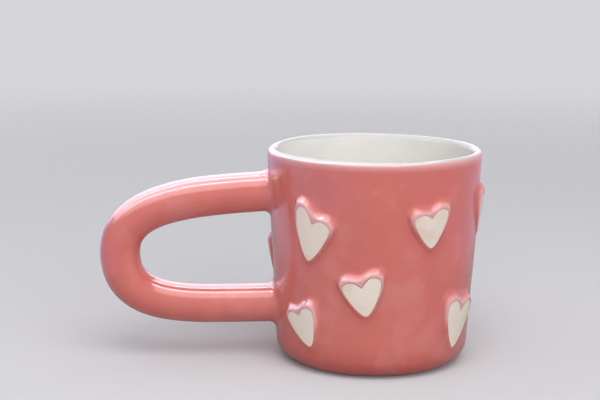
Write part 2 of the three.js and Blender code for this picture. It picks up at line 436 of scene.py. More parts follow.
def newGroup(name, inputs, outputs):
    # inputs: label to starting value; outputs: label to count of numbers
    group = bpy.data.node_groups.new(name, "ShaderNodeTree")
    for label, value in inputs.items():
        count = len(value) if isinstance(value, tuple) else 1
        socket = group.interface.new_socket(label, in_out="INPUT", socket_type=socketKinds[count])
        socket.default_value = value
    for label, count in outputs.items():
        group.interface.new_socket(label, in_out="OUTPUT", socket_type=socketKinds[count])
    enter = group.nodes.new("NodeGroupInput")
    leave = group.nodes.new("NodeGroupOutput")
    return group, enter, leave


def feed(tree, socket, value):
    # a socket takes a link from another socket, or a plain value
    if isinstance(value, bpy.types.NodeSocket):
        tree.links.new(value, socket)
    else:
        socket.default_value = value


def addNode(tree, kind, links=None, **settings):
    # links: input socket to the value or the socket that it takes
    node = tree.nodes.new(kind)
    for key, value in settings.items():
        setattr(node, key, value)
    for key, value in (links or {}).items():
        feed(tree, node.inputs[key], value)
    return node


def mathNode(tree, operation, first, second=0.5, clamp=False):
    links = {0: first, 1: second}
    return addNode(tree, "ShaderNodeMath", links, operation=operation, use_clamp=clamp).outputs[0]


def mixNode(tree, factor, first, second):
    node = addNode(tree, "ShaderNodeMix", data_type="RGBA")
    sockets = {socket.identifier: socket for socket in node.inputs}
    feed(tree, sockets["Factor_Float"], factor)
    feed(tree, sockets["A_Color"], first)
    feed(tree, sockets["B_Color"], second)
    return next(socket for socket in node.outputs if socket.identifier == "Result_Color")


def mixShaders(tree, factor, first, second):
    links = {0: factor, 1: first, 2: second}
    return addNode(tree, "ShaderNodeMixShader", links).outputs["Shader"]


def noiseNode(tree, place, scale, detail=2.0, distortion=0.0):
    links = {"Vector": place, "Scale": scale, "Detail": detail, "Distortion": distortion}
    return addNode(tree, "ShaderNodeTexNoise", links).outputs["Fac"]


def rangeNode(tree, value, fromMin, fromMax, toMin=0.0, toMax=1.0):
    links = {"Value": value, "From Min": fromMin, "From Max": fromMax, "To Min": toMin, "To Max": toMax}
    return addNode(tree, "ShaderNodeMapRange", links, interpolation_type="SMOOTHSTEP").outputs["Result"]


def rgb(red, green, blue):
    # a colour written as it looks on screen, 0 to 255
    onScreen = Color((red / 255, green / 255, blue / 255))
    return (*onScreen.from_srgb_to_scene_linear(), 1)


def spotMask(tree, place, spots):
    # small round spots, in some patches of the surface alone
    cells = addNode(tree, "ShaderNodeTexVoronoi", {"Vector": place, "Scale": spots["cells"]})
    patches = noiseNode(tree, place, spots["patches"], 1)
    chosen = rangeNode(tree, patches, spots["patchFrom"], spots["patchTo"])
    spot = rangeNode(tree, cells.outputs["Distance"], spots["edge"], spots["core"])
    return mathNode(tree, "MULTIPLY", spot, chosen)


# scales are counts to the metre, From and To are levels of the noise
toneGrain = {
    "broadScale": 45,
    "broadBend": 0.4,
    "fineScale": 190,
    "fineShare": 0.35,
    "cloudFrom": 0.42,
    "cloudTo": 0.92,
    "specks": {"cells": 260, "patches": 90, "patchFrom": 0.6, "patchTo": 0.66, "edge": 0.13, "core": 0.05},
    "iron": rgb(96, 58, 44),
}


def makeGlazeTone(grain):
    # glaze colour: soft clouds, paler and deeper where the masks say (thin and pooled glaze, painted
    # highlight and painted shade), a few iron specks
    white = (1, 1, 1, 1)
    inputs = {
        "Place": (0, 0, 0), "Body": white, "Thin": white, "Pooled": white,
        "Thin Mask": 0, "Pooled Mask": 0, "Clouding": 0.3, "Speck": 0.5,
    }
    group, enter, leave = newGroup("glazeTone", inputs, {"Colour": 4})
    place = enter.outputs["Place"]
    broad = noiseNode(group, place, grain["broadScale"], 3, grain["broadBend"])
    fine = noiseNode(group, place, grain["fineScale"])
    cloud = mathNode(group, "ADD", broad, mathNode(group, "MULTIPLY", fine, grain["fineShare"]))
    drift = rangeNode(group, cloud, grain["cloudFrom"], grain["cloudTo"], -1, 1)
    drift = mathNode(group, "MULTIPLY", drift, enter.outputs["Clouding"])
    paler = mathNode(group, "MAXIMUM", drift, 0)
    deeper = mathNode(group, "MAXIMUM", mathNode(group, "MULTIPLY", drift, -1), 0)
    thin = mathNode(group, "ADD", enter.outputs["Thin Mask"], paler, clamp=True)
    pooled = mathNode(group, "ADD", enter.outputs["Pooled Mask"], deeper, clamp=True)
    colour = mixNode(group, pooled, enter.outputs["Body"], enter.outputs["Pooled"])
    colour = mixNode(group, thin, colour, enter.outputs["Thin"])
    specks = spotMask(group, place, grain["specks"])
    specks = mathNode(group, "MULTIPLY", specks, enter.outputs["Speck"])
    colour = mixNode(group, specks, colour, grain["iron"])
    group.links.new(colour, leave.inputs["Colour"])
    return group


skinGrain = {
    "rippleScale": 110,
    "rippleBend": 0.3,
    "peelScale": 620,
    "peelShare": 0.06,
    "holes": {"cells": 210, "patches": 70, "patchFrom": 0.62, "patchTo": 0.68, "edge": 0.1, "core": 0.03},
    "holeShare": 0.15,
    "glossScale": 75,
    "glossFrom": 0.35,
    "glossTo": 0.7,
}


def makeGlazeSkin(grain):
    # fired glaze: slow ripples, orange-peel and rare pinholes as a height, with the gloss varying a little
    inputs = {"Place": (0, 0, 0), "Ripple": 1, "Sharpest": 0.06, "Softest": 0.12}
    group, enter, leave = newGroup("glazeSkin", inputs, {"Height": 1, "Roughness": 1})
    place = enter.outputs["Place"]
    ripple = noiseNode(group, place, grain["rippleScale"], 1, grain["rippleBend"])
    ripple = mathNode(group, "MULTIPLY", ripple, enter.outputs["Ripple"])
    peel = noiseNode(group, place, grain["peelScale"], 1)
    peel = mathNode(group, "MULTIPLY", peel, grain["peelShare"])
    holes = mathNode(group, "MULTIPLY", spotMask(group, place, grain["holes"]), grain["holeShare"])
    height = mathNode(group, "SUBTRACT", mathNode(group, "ADD", ripple, peel), holes)
    group.links.new(height, leave.inputs["Height"])
    matt = noiseNode(group, place, grain["glossScale"], 3)
    sharpest = enter.outputs["Sharpest"]
    softest = enter.outputs["Softest"]
    rough = rangeNode(group, matt, grain["glossFrom"], grain["glossTo"], sharpest, softest)
    group.links.new(rough, leave.inputs["Roughness"])
    return group


glazeTone = makeGlazeTone(toneGrain)
glazeSkin = makeGlazeSkin(skinGrain)
print("node groups made")


# Materials

def startMaterial(name):
    material = bpy.data.materials.new(name)
    material.use_nodes = True
    tree = material.node_tree
    tree.nodes.clear()
    output = addNode(tree, "ShaderNodeOutputMaterial")
    shader = addNode(tree, "ShaderNodeBsdfPrincipled")
    tree.links.new(shader.outputs["BSDF"], output.inputs["Surface"])
    place = addNode(tree, "ShaderNodeTexCoord").outputs["Object"]
    return material, tree, shader, place


def attributeNode(tree, name):
    return addNode(tree, "ShaderNodeAttribute", attribute_name=name).outputs["Fac"]


def axisNode(tree, place, axis):
    return addNode(tree, "ShaderNodeSeparateXYZ", {"Vector": place}).outputs[axis]


def addTone(tree, place, finish, thinMask, pooledMask):
    links = {"Place": place, "Thin Mask": thinMask, "Pooled Mask": pooledMask}
    for label in ("Body", "Thin", "Pooled", "Clouding", "Speck"):
        links[label] = finish[label.lower()]
    return addNode(tree, "ShaderNodeGroup", links, node_tree=glazeTone).outputs["Colour"]


def linkSurface(tree, shader, colour, rough, height, depth):
    bump = addNode(tree, "ShaderNodeBump", {"Height": height, "Distance": depth}).outputs["Normal"]
    for label, socket in (("Base Color", colour), ("Roughness", rough), ("Normal", bump)):
        tree.links.new(socket, shader.inputs[label])


def glazeShader(tree, shader, place, finish, colour):
    # the colour, the plain values and the skin of a glaze
    for key, value in finish["gloss"].items():
        shader.inputs[key].default_value = value
    links = {"Place": place}
    for label in ("Ripple", "Sharpest", "Softest"):
        links[label] = finish[label.lower()]
    skin = addNode(tree, "ShaderNodeGroup", links, node_tree=glazeSkin).outputs
    linkSurface(tree, shader, colour, skin["Roughness"], skin["Height"], finish["depth"])


pinkFinish = {
    "body": rgb(222, 117, 107),
    # paler: thin glaze under the lip, and the painted highlight on the hearts' top shoulders
    "thin": rgb(242, 188, 188),
    # darker: glaze pooled at the handle's roots, and painted shade below the hearts and at the heel
    "pooled": rgb(190, 78, 68),
    "rim": rgb(222, 214, 211),  # white showing through at the lip
    "thinFrom": 81.4 * mm,  # the glaze runs thin from here up
    "fadeFrom": 84.7 * mm,  # and breaks to white between these
    "fadeTo": 85.3 * mm,
    "fadeUneven": 0.5 * mm,
    "fadeScale": 130,
    "thinShare": 0.8,
    "heelFrom": 16 * mm,  # painted shade, darker towards the heel
    "heelTo": 1 * mm,
    "heelShare": 0.8,
    "poolShare": 0.2,
    "clouding": 0.12,
    "speck": 0.15,
    "ripple": 1.0,
    "sharpest": 0.19,
    "softest": 0.265,
    "depth": 0.12 * mm,
    "gloss": {"IOR": 1.58, "Specular IOR Level": 0.5, "Coat Weight": 0.5, "Coat Roughness": 0.06},
}


def makePinkGlaze(finish):
    material, tree, shader, place = startMaterial("pinkGlaze")
    height = axisNode(tree, place, "Z")
    uneven = mathNode(tree, "SUBTRACT", noiseNode(tree, place, finish["fadeScale"]), 0.5)
    uneven = mathNode(tree, "MULTIPLY", uneven, finish["fadeUneven"])
    level = mathNode(tree, "ADD", height, uneven)
    white = rangeNode(tree, level, finish["fadeFrom"], finish["fadeTo"])
    # painted shade, darker towards the heel
    heel = rangeNode(tree, level, finish["heelFrom"], finish["heelTo"], 0, finish["heelShare"])
    # darker: glaze pooled at the handle's roots, and painted shade below the hearts
    pooled = mathNode(tree, "MULTIPLY", attributeNode(tree, "pooled"), finish["poolShare"])
    pooled = mathNode(tree, "ADD", pooled, heel, clamp=True)
    thinRim = rangeNode(tree, level, finish["thinFrom"], finish["fadeTo"], 0, finish["thinShare"])
    # paler: painted highlight, with thinner glaze, on the hearts' top shoulders; thin glaze under the lip
    thin = mathNode(tree, "ADD", attributeNode(tree, "thinned"), thinRim, clamp=True)
    tone = addTone(tree, place, finish, thin, pooled)
    colour = mixNode(tree, white, tone, finish["rim"])
    glazeShader(tree, shader, place, finish, colour)
    return material


creamFinish = {
    "body": rgb(252, 237, 220),
    "thin": rgb(252, 242, 230),
    # pinker at the face's upper edge: painted shadow line, with pink bled into the cream
    "pooled": rgb(226, 158, 148),
    "clouding": 0.3,
    "speck": 0.12,
    "ripple": 0.7,
    "sharpest": 0.2,
    "softest": 0.265,
    "depth": 0.1 * mm,
    "gloss": {"IOR": 1.5},
}


def makeCreamGlaze(finish):
    material, tree, shader, place = startMaterial("creamGlaze")
    tone = addTone(tree, place, finish, 0, attributeNode(tree, "pooled"))
    glazeShader(tree, shader, place, finish, tone)
    return material


whiteFinish = {
    "body": rgb(246, 243, 238),
    "thin": rgb(216, 214, 212),  # the coat runs thin over the lip
    "pooled": rgb(228, 220, 212),  # painted shade, darker and warmer towards the floor inside
    "thinFrom": 83.8 * mm,
    "thinTo": 85.1 * mm,
    "pooledFrom": 13 * mm,
    "pooledTo": 6 * mm,
    "poolShare": 0.5,
    "clouding": 0.15,
    "speck": 0.15,
    "ripple": 0.7,
    "sharpest": 0.07,
    "softest": 0.14,
    "depth": 0.1 * mm,
    "gloss": {"IOR": 1.5, "Specular IOR Level": 0.15},
}


def makeWhiteGlaze(finish):
    material, tree, shader, place = startMaterial("whiteGlaze")
    height = axisNode(tree, place, "Z")
    thin = rangeNode(tree, height, finish["thinFrom"], finish["thinTo"])
    # painted shade, darker towards the floor inside
    pooled = rangeNode(tree, height, finish["pooledFrom"], finish["pooledTo"], 0, finish["poolShare"])
    tone = addTone(tree, place, finish, thin, pooled)
    glazeShader(tree, shader, place, finish, tone)
    return material


clayFinish = {
    "light": rgb(222, 203, 176),
    "dark": rgb(196, 170, 138),
    "grit": rgb(150, 120, 92),
    "cloudScale": 120,
    "cloudFrom": 0.3,
    "cloudTo": 0.7,
    "gritScale": 1400,
    "gritFrom": 0.62,
    "gritTo": 0.72,
    "gritShare": 0.6,
    "ringScale": 210,  # marks of the turning
    "ringBend": 1.5,
    "ringShare": 0.35,
    "smoothest": 0.82,
    "roughest": 0.95,
    "depth": 0.15 * mm,
}


def makeBareClay(finish):
    material, tree, shader, place = startMaterial("bareClay")
    low = finish["cloudFrom"]
    high = finish["cloudTo"]
    cloud = noiseNode(tree, place, finish["cloudScale"], 4)
    colour = mixNode(tree, rangeNode(tree, cloud, low, high), finish["dark"], finish["light"])
    grit = noiseNode(tree, place, finish["gritScale"])
    gritty = rangeNode(tree, grit, finish["gritFrom"], finish["gritTo"], 0, finish["gritShare"])
    colour = mixNode(tree, gritty, colour, finish["grit"])
    links = {"Vector": place, "Scale": finish["ringScale"], "Distortion": finish["ringBend"]}
    rings = addNode(tree, "ShaderNodeTexWave", links, wave_type="RINGS", rings_direction="Z")
    marks = mathNode(tree, "MULTIPLY", rings.outputs["Fac"], finish["ringShare"])
    grain = mathNode(tree, "ADD", grit, marks)
    rough = rangeNode(tree, cloud, low, high, finish["smoothest"], finish["roughest"])
    linkSurface(tree, shader, colour, rough, grain, finish["depth"])
    return material


pinkGlaze = makePinkGlaze(pinkFinish)
creamGlaze = makeCreamGlaze(creamFinish)
whiteGlaze = makeWhiteGlaze(whiteFinish)
bareClay = makeBareClay(clayFinish)
print("materials made")


# Wall, pink outside

wallBuild = {
    "sides": 128,
    "rings": 30,
    "lapEnd": math.radians(50),  # the pink skin runs this far up the lip
    "lapTuck": math.radians(62),  # and is under the white coat from here
    "tuckDepth": 0.12 * mm,
    "underLip": 1.1 * mm,
    "coveEdge": 0.8 * mm,
    "poolWidth": 4.5 * mm,  # painted shade below each heart, with pooled glaze, reaches this far round it
    "poolReach": 24 * mm,  # no heart's edge is further than this from its middle
    "steps": {"heel": 10, "lap": 6, "under": 6, "cove": 6},
}
heartFeet = []  # each heart's foot, drawn flat
for heart in hearts:
    heartFeet.append((heart, [heartFlat(heart, point) for point in heartOutlines(heart)[2]]))


# darker below each heart: painted shade, with glaze pooled round its foot
def poolRoundHearts(point, build):
    depth = 0
    if offWall(point) < -lipRadius:  # inside the wall
        return depth
    for heart, foot in heartFeet:
        flat = wallToHeart(heart, point)
        if flat.length < build["poolReach"]:
            nearest = min((flat - corner).length for corner in foot)
            depth = max(depth, fade(nearest, build["poolWidth"], 0) * lowSide(flat))
    return depth


def makeWall(build):
    gap = bodySizes["slabGap"]
    steps = build["steps"]
    heelRound = bodySizes["heelRound"]
    clayCove = bodySizes["floorCove"] + bodySizes["glazeThickness"] + gap
    coveEnd = -math.asin(1 - build["coveEdge"] / clayCove)
    heel = arcPoints(heelCentreR, heelCentreZ, heelRound, -math.pi / 2, -wallLean, steps["heel"])
    lap = arcPoints(lipCentre, wallTop, lipRadius, 0, build["lapEnd"], steps["lap"])
    under = arcPoints(lipCentre, wallTop, build["underLip"], build["lapTuck"], math.pi, steps["under"])
    cove = arcPoints(coveCentreR, coveCentreZ, clayCove, -wallLean, coveEnd, steps["cove"])
    start = (footRadius + gap, bodySizes["heelLift"])
    profile = [start, *heel]
    profile += straightPoints(heel[-1], lap[0], build["rings"])
    profile += lap
    profile.append(arcPoint(lipCentre, wallTop, lipRadius - build["tuckDepth"], build["lapTuck"]))
    profile += under
    profile += straightPoints(under[-1], cove[0], build["rings"] // 2)
    profile += cove
    profile += [
        (cove[-1][0], slabTop + gap),
        (innerRadius(slabTop) + gap, slabTop + gap),
        (footRadius + gap, bevelFoot),
        start,
    ]
    piece = turnPiece("mug_wall", profile, build["sides"])
    closeMesh(piece)  # the profile's two ends meet, so they are merged before the smoothing
    smoothPiece(piece)
    # painted shade below the hearts, with pooled glaze, kept as an attribute
    paintAttribute(piece, "pooled", [poolRoundHearts(vert.co, build) for vert in piece.data.vertices])
    dress(piece, pinkGlaze, "pink_glaze", "wall")


makeWall(wallBuild)
print("wall turned")


# Floor slab, bare clay underneath

slabBuild = {
    "sides": 128,
    "chamfer": 0.5 * mm,
    "edge": 0.2 * mm,  # rounding of the other edges
    "steps": {"under": 8, "chamfer": 4, "top": 5},
}


def makeSlab(build):
    steps = build["steps"]
    chamfer = build["chamfer"]
    flat = footRadius - chamfer
    topRadius = innerRadius(slabTop)
    profile = [(0, 0)]
    profile += straightPoints((0, 0), (flat, 0), steps["under"])
    profile += [(flat - build["edge"], 0)]
    profile += arcPoints(flat, chamfer, chamfer, -math.pi / 2, 0, steps["chamfer"])
    profile += [
        (footRadius, bevelFoot),
        (topRadius, slabTop - build["edge"]),
        (topRadius - build["edge"], slabTop),
    ]
    profile += straightPoints((topRadius, slabTop), (0, slabTop), steps["top"])
    profile += [(0, slabTop)]
    piece = turnPiece("floor_slab", profile, build["sides"])
    smoothPiece(piece, {})  # no lumps, so that it stands flat
    dress(piece, bareClay, "bare_clay", "base_slab")


makeSlab(slabBuild)
print("floor slab turned")


# White coat inside and over the lip

linerBuild = {
    "sides": 128,
    "rings": 20,
    "lipStart": math.radians(20),  # edge of the coat, under the pink skin
    "lipTuck": math.radians(46),
    "lipShow": math.radians(58),  # out from under the pink skin
    "tuckDepth": 0.12 * mm,
    "steps": {
        "floorUnder": 4, "coveUnder": 6, "lipUnder": 10,
        "lipEdge": 3, "lipOver": 14, "coveOver": 8, "floorOver": 8,
    },
}


def makeLiner(build):
    thick = bodySizes["glazeThickness"]
    floor = bodySizes["floorThickness"]
    coveRound = bodySizes["floorCove"]
    down = -math.pi / 2
    lipStart = build["lipStart"]
    tucked = lipRadius - build["tuckDepth"]
    steps = build["steps"]
    coveUnder = arcPoints(coveCentreR, coveCentreZ, coveRound + thick, down, -wallLean, steps["coveUnder"])
    lipUnder = arcPoints(lipCentre, wallTop, lipRadius - thick, math.pi, lipStart, steps["lipUnder"])
    lipEdge = arcPoints(lipCentre, wallTop, tucked, lipStart, build["lipTuck"], steps["lipEdge"])
    lipOver = arcPoints(lipCentre, wallTop, lipRadius, build["lipShow"], math.pi, steps["lipOver"])
    coveOver = arcPoints(coveCentreR, coveCentreZ, coveRound, -wallLean, down, steps["coveOver"])
    profile = [(0, floor - thick)]
    profile += straightPoints((0, floor - thick), coveUnder[0], steps["floorUnder"])
    profile += coveUnder
    profile += straightPoints(coveUnder[-1], lipUnder[0], build["rings"] // 2)
    profile += [*lipUnder, *lipEdge, *lipOver]
    profile += straightPoints(lipOver[-1], coveOver[0], build["rings"])
    profile += coveOver
    profile += straightPoints(coveOver[-1], (0, floor), steps["floorOver"])
    profile += [(0, floor)]
    piece = turnPiece("inner_glaze", profile, build["sides"])
    smoothPiece(piece)
    dress(piece, whiteGlaze, "white_glaze", "liner_glaze")


makeLiner(linerBuild)
print("white coat turned")


# Handle, a round loop melting into the wall at both roots

handleSizes = {
    "upperRootDrop": 17 * mm,
    "lowerRootRise": 22.2 * mm,
    "reach": 60.8 * mm,
    "sag": 1.9 * mm,
    "upperThickness": 16.1 * mm,
    "lowerThickness": 15.5 * mm,
    "upperSlope": math.radians(5.8),
    "lowerSlope": math.radians(2),
    "upperRun": 26.2 * mm,
    "lowerRun": 29.7 * mm,
    "upperTurn": 23.7 * mm,
    "lowerTurn": 27 * mm,
    "fillet": 2.9 * mm,
    "filletSteps": 9,
    "skirt": 1.4 * mm,  # feathered edge beyond the fillet, sunk a little into the wall
    "skirtSink": 0.16 * mm,
    "skirtLoops": [(3, 0.8), (1, 1), (0.35, 0.55)],  # shares of the sink and of the skirt
    "rootSpan": 16 * mm,  # the roots leave the wall within this of the path's ends
    "rootSink": 1.2 * mm,  # how deep the root's end and the ring round it are in the wall
    "ringSink": 0.6 * mm,
    "ringSpread": 0.5,  # share of the fillet
    "poolShare": 0.6,
    "poolFrom": 3.5 * mm,  # glaze gathers in the fillet, from here down to the wall
    "poolTo": 0.4 * mm,
    "sides": 40,
    "step": 2.6 * mm,
    "curveSteps": 240,
    "halvings": 40,  # of the search for where the skin leaves the wall
}


def handlePath(sizes):
    upperZ = bodySizes["height"] - sizes["upperRootDrop"]
    lowerZ = sizes["lowerRootRise"]
    middle = (upperZ + lowerZ) / 2
    tip = Vector((-outerRadius(middle) - sizes["reach"], 0, middle - sizes["sag"]))
    upperRoot = Vector((-innerRadius(upperZ), 0, upperZ))
    lowerRoot = Vector((-innerRadius(lowerZ), 0, lowerZ))
    upperAim = Vector((-math.cos(sizes["upperSlope"]), 0, -math.sin(sizes["upperSlope"])))
    lowerAim = Vector((-math.cos(sizes["lowerSlope"]), 0, math.sin(sizes["lowerSlope"])))
    up = Vector((0, 0, 1))
    upperKnot = upperRoot + upperAim * sizes["upperRun"]
    lowerKnot = lowerRoot + lowerAim * sizes["lowerRun"]
    aboveTip = tip + up * sizes["upperTurn"]
    belowTip = tip - up * sizes["lowerTurn"]
    upper = interpolate_bezier(upperRoot, upperKnot, aboveTip, tip, sizes["curveSteps"])
    lower = interpolate_bezier(tip, belowTip, lowerKnot, lowerRoot, sizes["curveSteps"])
    return upper + lower[1:]


def measurePath(path):
    stops = [0]
    for i in range(1, len(path)):
        stops.append(stops[-1] + (path[i] - path[i - 1]).length)
    return stops


def onPath(path, stops, distance):
    # the point and the direction at a distance along the path
    last = len(path) - 1
    i = min(last, max(1, bisect.bisect_left(stops, distance)))
    share = (distance - stops[i - 1]) / (stops[i] - stops[i - 1])
    point = path[i - 1].lerp(path[i], share)
    # the direction is taken over five steps of the path
    before = path[max(0, i - 3)]
    after = path[min(last, i + 2)]
    return point, (after - before).normalized()


def makeHandle(sizes):
    path = handlePath(sizes)
    stops = measurePath(path)
    length = stops[-1]
    angles = [2 * math.pi * i / sizes["sides"] for i in range(sizes["sides"])]

    def skin(distance, angle):
        centre, aim = onPath(path, stops, distance)
        share = distance / length
        radius = (sizes["upperThickness"] * (1 - share) + sizes["lowerThickness"] * share) / 2
        outward = Vector((-aim.z * math.cos(angle), math.sin(angle), aim.x * math.cos(angle)))
        return centre + outward * radius, outward

    def reachOff(angle, wanted, inner, outer):
        # how far along the handle its skin is the wanted distance off the wall
        for _ in range(sizes["halvings"]):
            middle = (inner + outer) / 2
            if offWall(skin(middle, angle)[0]) < wanted:
                inner = middle
            else:
                outer = middle
        return (inner + outer) / 2

    def rootLoop(off, spread, inner, outer):
        loop = []
        for angle in angles:
            point, outward = skin(reachOff(angle, max(off, 0), inner, outer), angle)
            wallOut = Vector((point.x, point.y, 0)).normalized()
            wallOut = (wallOut - Vector((0, 0, wallSlope))).normalized()
            along = (outward - wallOut * outward.dot(wallOut)).normalized()
            loop.append(setOffWall(point + along * spread, off))
        return loop

    def rootLoops(inner, outer):
        # from deep in the wall out to where the plain tube starts
        fillet = sizes["fillet"]
        end = setOffWall(onPath(path, stops, inner)[0], -sizes["rootSink"])
        loops = [
            [end] * sizes["sides"],
            rootLoop(-sizes["ringSink"], sizes["ringSpread"] * fillet, inner, outer),
        ]
        for sinkShare, skirtShare in sizes["skirtLoops"]:
            off = -sinkShare * sizes["skirtSink"]
            loops.append(rootLoop(off, fillet + skirtShare * sizes["skirt"], inner, outer))
        for i in range(sizes["filletSteps"]):
            turn = math.pi / 2 * (1 - i / sizes["filletSteps"])
            off = fillet * (1 - math.sin(turn))
            loops.append(rootLoop(off, fillet * (1 - math.cos(turn)), inner, outer))
        return loops

    span = sizes["rootSpan"]
    upperLoops = rootLoops(0, span)
    lowerLoops = rootLoops(length, length - span)
    upperStart = max(reachOff(angle, sizes["fillet"], 0, span) for angle in angles)
    lowerStart = min(reachOff(angle, sizes["fillet"], length, length - span) for angle in angles)
    count = round((lowerStart - upperStart) / sizes["step"])
    tube = []
    for i in range(count + 1):
        distance = upperStart + (lowerStart - upperStart) * i / count
        tube.append([skin(distance, angle)[0] for angle in angles])
    piece = loftPiece("loop_handle", upperLoops + tube + lowerLoops[::-1])
    pooled = []
    for vert in piece.data.vertices:
        gathered = fade(offWall(vert.co), sizes["poolFrom"], sizes["poolTo"])
        pooled.append(sizes["poolShare"] * gathered)
    paintAttribute(piece, "pooled", pooled)
    smoothPiece(piece)
    dress(piece, pinkGlaze, "pink_glaze", "handle")


makeHandle(handleSizes)
print("handle drawn")


# Raised hearts, pink pillows with a pocket, and the cream faces set in them

reliefBuild = {
    "relief": 2.1 * mm,
    "crown": 0.1 * mm,  # the pink stands this much higher above the face's top
    "crownFrom": 0.1,  # shares of the height above the middle
    "crownTo": 0.9,
    "foot": 1.45,  # share of the shoulder where the pillow meets the wall
    "tail": 0.78,  # below 1, the lower part of the slope is drawn out
    "skirt": 1.8,  # share of the shoulder where its feathered edge ends
    "skirtSink": 0.16 * mm,
    "underSink": 0.64 * mm,
    "browSteps": 3,
    "shoulderSteps": 13,
    "lipRound": 0.14 * mm,
    "pocketDepth": 0.8 * mm,
    "pocketGap": -0.05 * mm,  # the cream is bedded in the pink
    "thinEdge": 0.75,  # how much paler the pink turns above the cream: thinner glaze and painted highlight
    "thinFrom": 0.3,  # shares of the relief, between the wall and the top
    "poolFrom": 0.9,
    "poolTo": 0.1,
}
faceBuild = {
    "sink": 0.05 * mm,  # edge of the cream face below the pink
    "dome": 0.3 * mm,
    "edgeRound": 0.3 * mm,
    "edgeSteps": 3,
    "underRound": 0.15 * mm,
    "thickness": 0.6 * mm,
    "rings": [0.9, 0.75, 0.55, 0.35, 0.15],
}
heartMiddle = Vector((0, 0, 0))
halfway = 0.5  # a ring between the middle and the edge of what isn't seen
usualReach = 0.8  # how far a heart's edge is from its middle, as a share of the most


def scaled(outline, grow):
    return [point * grow for point in outline]


def widened(outline, extra):
    # the outline moved out all round by about that much
    reach = max(point.length for point in outline)
    return scaled(outline, 1 + extra / (usualReach * reach))


def makeRelief(name, node, heart, build):
    face, brow, foot = heartOutlines(heart)
    pocket = widened(face, build["pocketGap"])
    lip = widened(face, build["pocketGap"] - build["lipRound"])
    top = max(point.y for point in face)
    crownFoot = build["crownFrom"] * top
    crownTop = build["crownTo"] * top
    crowns = [build["crown"] * fade(point.y, crownFoot, crownTop) for point in face]
    lows = [lowSide(heartFlat(heart, point)) for point in foot]
    count = len(face)
    loops = []
    pooled = []
    thinned = []

    def addLoop(outline, lifts, pools, thins):
        loops.append([heartOnWall(heart, point, lift) for point, lift in zip(outline, lifts)])
        pooled.append(pools)
        thinned.append(thins)

    def between(first, second, share):
        return [a.lerp(b, share) for a, b in zip(first, second)]

    plain = [0] * count
    under = [-build["underSink"]] * count
    addLoop([heartMiddle] * count, under, plain, plain)
    addLoop(scaled(foot, halfway), under, plain, plain)
    addLoop(foot, under, plain, plain)
    for i in range(build["shoulderSteps"]):
        share = build["skirt"] * (1 - i / build["shoulderSteps"])
        slope = min(1, share / build["foot"]) ** build["tail"]
        left = 0.5 + 0.5 * math.cos(math.pi * slope)
        beyond = max(0, share - build["foot"]) / (build["skirt"] - build["foot"])
        sink = build["skirtSink"] * beyond ** 2
        # darker on the lower slopes: painted shade, with glaze pooled there; paler on the upper slopes:
        # painted highlight, with thinner glaze
        addLoop(
            between(brow, foot, share),
            [(build["relief"] + crown) * left - sink for crown in crowns],
            [low * fade(left, build["poolFrom"], build["poolTo"]) for low in lows],
            [(1 - low) * build["thinEdge"] * fade(left, build["thinFrom"], 1) for low in lows],
        )
    # painted highlight, with thinner glaze, along the brow above the face
    edge = [(1 - low) * build["thinEdge"] for low in lows]
    # painted shadow line in the groove along the top of the face, with glaze pooled in it
    groove = [1 - low for low in lows]
    for i in range(build["browSteps"] + 1):
        lifts = [build["relief"] + crown for crown in crowns]
        addLoop(between(brow, pocket, i / build["browSteps"]), lifts, plain, edge)
    lipTop = build["relief"] - build["lipRound"]
    pocketFloor = [build["relief"] - build["pocketDepth"]] * count
    addLoop(lip, [lipTop + crown for crown in crowns], groove, plain)
    addLoop(lip, pocketFloor, groove, plain)
    addLoop(scaled(lip, halfway), pocketFloor, groove, plain)
    addLoop([heartMiddle] * count, pocketFloor, groove, plain)
    piece = loftPiece(name, loops, pooled=pooled, thinned=thinned)
    smoothPiece(piece)
    dress(piece, pinkGlaze, "pink_glaze", node)


def makeFace(name, node, heart, build):
    outline = heartOutlines(heart)[0]
    # pinker along the upper edge: painted shadow line, with pink bleeding into the cream
    highs = [1 - lowSide(heartFlat(heart, point)) for point in outline]
    reach = max(point.length for point in outline)
    top = reliefBuild["relief"] - build["sink"]
    bottom = top - build["thickness"]
    loops = []
    stains = []

    def addLoop(grow, lift, stain):
        loops.append([heartOnWall(heart, point, lift) for point in scaled(outline, grow)])
        stains.append([high * stain for high in highs])

    addLoop(0, bottom, 1)
    addLoop(halfway, bottom, 1)
    addLoop(1 - build["edgeRound"] / reach, bottom, 1)
    addLoop(1, bottom + build["underRound"], 1)
    for i in range(build["edgeSteps"] + 1):
        turn = math.pi / 2 * i / build["edgeSteps"]
        inset = build["edgeRound"] * (1 - math.cos(turn)) / reach
        addLoop(1 - inset, top - build["edgeRound"] * (1 - math.sin(turn)), math.cos(turn))
    for grow in build["rings"]:
        addLoop(grow, top + build["dome"] * (1 - grow ** 2), 0)
    addLoop(0, top + build["dome"], 0)
    piece = loftPiece(name, loops, pooled=stains)
    smoothPiece(piece)
    dress(piece, creamGlaze, "cream_glaze", node)


for number, heart in enumerate(hearts, 1):
    makeRelief(f"heart_relief_{number:02d}", f"raised_heart_{number:02d}", heart, reliefBuild)
    makeFace(f"heart_face_{number:02d}", f"cream_heart_{number:02d}", heart, faceBuild)
print("hearts laid on")


# Floor, backdrop and light

stageSizes = {
    "half": 3.0,
    "back": 1.7,
    "tall": 2.4,
    "sweep": 0.6,
    "sweepSteps": 16,
    "colour": rgb(212, 210, 212),
    "mottle": rgb(206, 204, 206),
    "mottleScale": 3,
    "roughness": 0.85,
    "bounce": rgb(158, 156, 159),  # the paper as the mug sees it
    "glow": rgb(214, 214, 216),  # far off, the paper is seen in its own colour, evenly lit
    "glowFrom": 0.25,
    "glowTo": 1.2,
    "sheenLeft": rgb(190, 178, 214),
    "sheenRight": rgb(192, 164, 184),
    "sheenStrength": 1.4,
    "sheenFrom": 0.12,  # to either side of the mug, the glaze reflects the sheen
    "sheenTo": 0.2,
}


